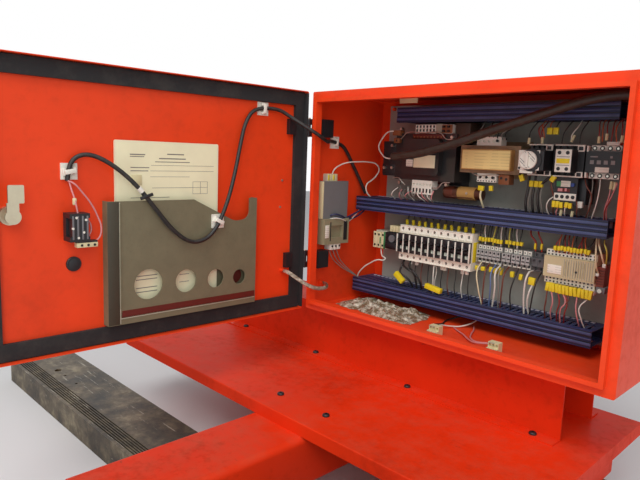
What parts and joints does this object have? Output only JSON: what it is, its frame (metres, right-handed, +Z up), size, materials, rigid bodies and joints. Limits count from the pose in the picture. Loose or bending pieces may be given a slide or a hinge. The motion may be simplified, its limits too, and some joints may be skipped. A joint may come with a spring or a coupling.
{
  "type": "machine control cabinet",
  "caption": "Steel control cabinet with an open hinged door and switchgear on rails, standing on a folded console and cover deck carried by box beams and ground rails.",
  "frame": {"origin": "on the underside of the ground rail at mid-width, straight below the cabinet's hinge-side wall", "axes": "+X along the cabinet's front away from the hinge, +Y from the open front into the cabinet, +Z up"},
  "size_m": [1.481, 0.9719, 0.81],
  "materials": {
    "machine_bed": "mottled worn metal",
    "frame_paint": "satin orange-red paint",
    "cabinet_paint": "satin orange-red paint with a fine orange-peel",
    "zinc_steel": "bright zinc plate",
    "plate_grey": "satin grey",
    "duct_plastic": "dark slate blue",
    "black_core": "varnished black",
    "tan_core": "varnished tan",
    "winding": "varnished copper wire",
    "white_plastic": "off-white moulding",
    "device_grey": "dark grey moulding",
    "device_light": "light grey moulding",
    "blue_plastic": "blue moulding",
    "beige_plastic": "beige moulding",
    "seal_rubber": "soft dark foam",
    "hinge_black": "black moulding",
    "button_red": "gloss",
    "pocket_plastic": "grey-olive moulding",
    "paper": "paper in a sleeve",
    "cable_black": "smooth jacket",
    "braid": "tinned braid",
    "toggle_black": "black moulding"
  },
  "bodies": {
    "machine_frame": {"aux_contact_block": "white_plastic", "beam_plates": "frame_paint", "box_beams": "frame_paint", "breaker_bodies": "white_plastic", "cabinet_shell": "cabinet_paint", "choke_coil": "winding", "console": "cabinet_paint", "contactor_left": "device_grey", "contactor_middle": "device_grey", "contactor_right": "device_grey", "control_transformer": "tan_core", "controller": "device_light", "cover_deck": "cabinet_paint", "deck_bolts": "zinc_steel", "din_rails": "zinc_steel", "duct_covers": "duct_plastic", "duct_trunks": "duct_plastic", "earth_strap": "braid", "ground_rail": "machine_bed", "hinge_cabinet_leaves": "hinge_black", "hinge_cable": "cable_black", "hinge_pins": "zinc_steel", "loose_connectors": "beige_plastic", "main_transformer": "black_core", "mounting_plate": "plate_grey", "overload_relay": "device_grey", "rear_rail": "machine_bed", "side_module": "device_grey", "supply_cable": "cable_black", "supply_gland": "device_grey", "terminal_blocks": "beige_plastic", "timer_relay": "white_plastic", "transformer_terminals": "white_plastic", "wall_cable": "cable_black", "wall_clip": "white_plastic"},
    "door": {"door_panel": "cabinet_paint", "door_seal": "seal_rubber", "hinge_door_leaves": "hinge_black", "lock_body": "zinc_steel", "contact_block": "device_grey", "blanking_plug": "device_grey", "document_pocket": "pocket_plastic", "document_sleeve": "paper", "door_clips": "white_plastic", "door_cable": "cable_black"},
    "lock": {"lock_cam": "zinc_steel"},
    "button": {"push_button": "button_red"},
    "dial": {"timer_dial": "device_grey"},
    "reset": {"overload_reset": "blue_plastic"},
    "toggle_01": {"breaker_toggle_01": "toggle_black"},
    "toggle_02": {"breaker_toggle_02": "toggle_black"},
    "toggle_03": {"breaker_toggle_03": "toggle_black"},
    "toggle_04": {"breaker_toggle_04": "toggle_black"},
    "toggle_05": {"breaker_toggle_05": "toggle_black"},
    "toggle_06": {"breaker_toggle_06": "toggle_black"},
    "toggle_07": {"breaker_toggle_07": "toggle_black"},
    "toggle_08": {"breaker_toggle_08": "toggle_black"},
    "toggle_09": {"breaker_toggle_09": "toggle_black"},
    "toggle_10": {"breaker_toggle_10": "toggle_black"},
    "toggle_11": {"breaker_toggle_11": "toggle_black"}
  },
  "joints": [
    {"name": "door_hinge", "type": "hinge", "parent": "machine_frame", "child": "door", "pos_m": [-0.006, 0.339, 0.56], "axis": [0, 0, 1], "range_deg": [-34, 91.3], "deforming": ["hinge_cable", "earth_strap"]},
    {"name": "lock_turn", "type": "hinge", "parent": "door", "child": "lock", "pos_m": [-0.01434, -0.29297, 0.5545], "axis": [0.9997, -0.0227, 0], "range_deg": [0, 90]},
    {"name": "button_press", "type": "slide", "parent": "door", "child": "button", "axis": [0.9997, -0.0227, 0], "range_m": [0, 0.005], "stiffness_N_per_m": 600},
    {"name": "dial_turn", "type": "hinge", "parent": "machine_frame", "child": "dial", "pos_m": [0.47, 0.4575, 0.675], "axis": [0, 1, 0], "range_deg": [-135, 135]},
    {"name": "reset_press", "type": "slide", "parent": "machine_frame", "child": "reset", "axis": [0, 1, 0], "range_m": [0, 0.0025], "stiffness_N_per_m": 400},
    {"name": "toggle_01_flip", "type": "hinge", "parent": "machine_frame", "child": "toggle_01", "pos_m": [0.1483, 0.5135, 0.474], "axis": [1, 0, 0], "range_deg": [0, 60]},
    {"name": "toggle_02_flip", "type": "hinge", "parent": "machine_frame", "child": "toggle_02", "pos_m": [0.1659, 0.5135, 0.474], "axis": [1, 0, 0], "range_deg": [0, 60]},
    {"name": "toggle_03_flip", "type": "hinge", "parent": "machine_frame", "child": "toggle_03", "pos_m": [0.1835, 0.5135, 0.474], "axis": [1, 0, 0], "range_deg": [0, 60]},
    {"name": "toggle_04_flip", "type": "hinge", "parent": "machine_frame", "child": "toggle_04", "pos_m": [0.2011, 0.5135, 0.474], "axis": [1, 0, 0], "range_deg": [0, 60]},
    {"name": "toggle_05_flip", "type": "hinge", "parent": "machine_frame", "child": "toggle_05", "pos_m": [0.2187, 0.5135, 0.474], "axis": [1, 0, 0], "range_deg": [0, 60]},
    {"name": "toggle_06_flip", "type": "hinge", "parent": "machine_frame", "child": "toggle_06", "pos_m": [0.2363, 0.5135, 0.474], "axis": [1, 0, 0], "range_deg": [0, 60]},
    {"name": "toggle_07_flip", "type": "hinge", "parent": "machine_frame", "child": "toggle_07", "pos_m": [0.2539, 0.5135, 0.474], "axis": [1, 0, 0], "range_deg": [0, 60]},
    {"name": "toggle_08_flip", "type": "hinge", "parent": "machine_frame", "child": "toggle_08", "pos_m": [0.2715, 0.5135, 0.474], "axis": [1, 0, 0], "range_deg": [0, 60]},
    {"name": "toggle_09_flip", "type": "hinge", "parent": "machine_frame", "child": "toggle_09", "pos_m": [0.2891, 0.5135, 0.474], "axis": [1, 0, 0], "range_deg": [0, 60]},
    {"name": "toggle_10_flip", "type": "hinge", "parent": "machine_frame", "child": "toggle_10", "pos_m": [0.3067, 0.5135, 0.474], "axis": [1, 0, 0], "range_deg": [0, 60]},
    {"name": "toggle_11_flip", "type": "hinge", "parent": "machine_frame", "child": "toggle_11", "pos_m": [0.3243, 0.5135, 0.474], "axis": [1, 0, 0], "range_deg": [0, 60]}
  ]
}
